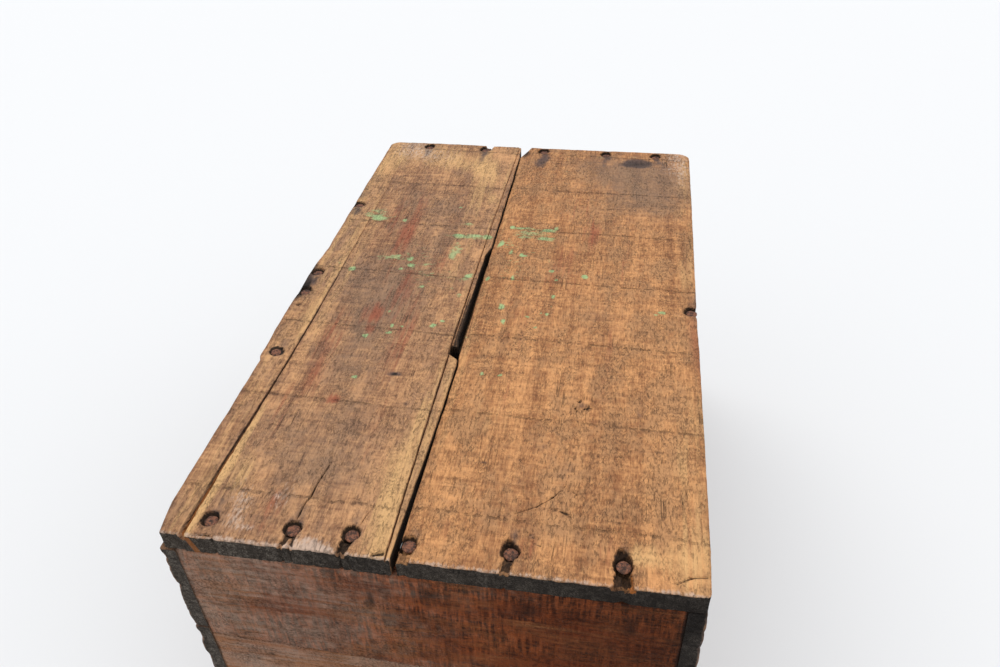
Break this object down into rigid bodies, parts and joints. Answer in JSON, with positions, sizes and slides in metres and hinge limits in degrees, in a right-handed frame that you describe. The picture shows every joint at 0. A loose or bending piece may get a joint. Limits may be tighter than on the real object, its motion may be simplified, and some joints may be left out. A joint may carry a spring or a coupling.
{
  "type": "wooden apple crate",
  "caption": "Rectangular nailed wooden fruit crate with a boarded bottom, slatted long sides and thicker ends, shown upside down on its open rim.",
  "frame": {"origin": "centre of the rectangle that the open rim stands on, so the crate is upside down with its nailed bottom uppermost", "axes": "+X across the crate to its right side, +Y along it to its far end, +Z from the open rim up to the outer face of the bottom"},
  "size_m": [0.302, 0.5, 0.28],
  "materials": {
    "bottom_wood": "bare, worn and stained softwood",
    "side_wood": "rough sawn, weathered softwood",
    "end_wood": "rough sawn, dark orange-brown softwood",
    "nail_iron": "rusted"
  },
  "bodies": {
    "root": {"bottom_board_left": "bottom_wood", "bottom_board_right": "bottom_wood", "left_side_base_slat": "side_wood", "left_side_middle_slat": "side_wood", "left_side_rim_slat": "side_wood", "right_side_base_slat": "side_wood", "right_side_middle_slat": "side_wood", "right_side_rim_slat": "side_wood", "near_end_base_board": "end_wood", "near_end_rim_board": "end_wood", "far_end_base_board": "end_wood", "far_end_rim_board": "end_wood", "bottom_left_near_nails": "nail_iron", "bottom_right_near_nails": "nail_iron", "bottom_left_far_nails": "nail_iron", "bottom_right_far_nails": "nail_iron", "bottom_left_edge_nails": "nail_iron", "bottom_right_edge_nail": "nail_iron", "left_side_near_nails": "nail_iron", "left_side_far_nails": "nail_iron", "right_side_near_nails": "nail_iron", "right_side_far_nails": "nail_iron"}
  },
  "joints": []
}
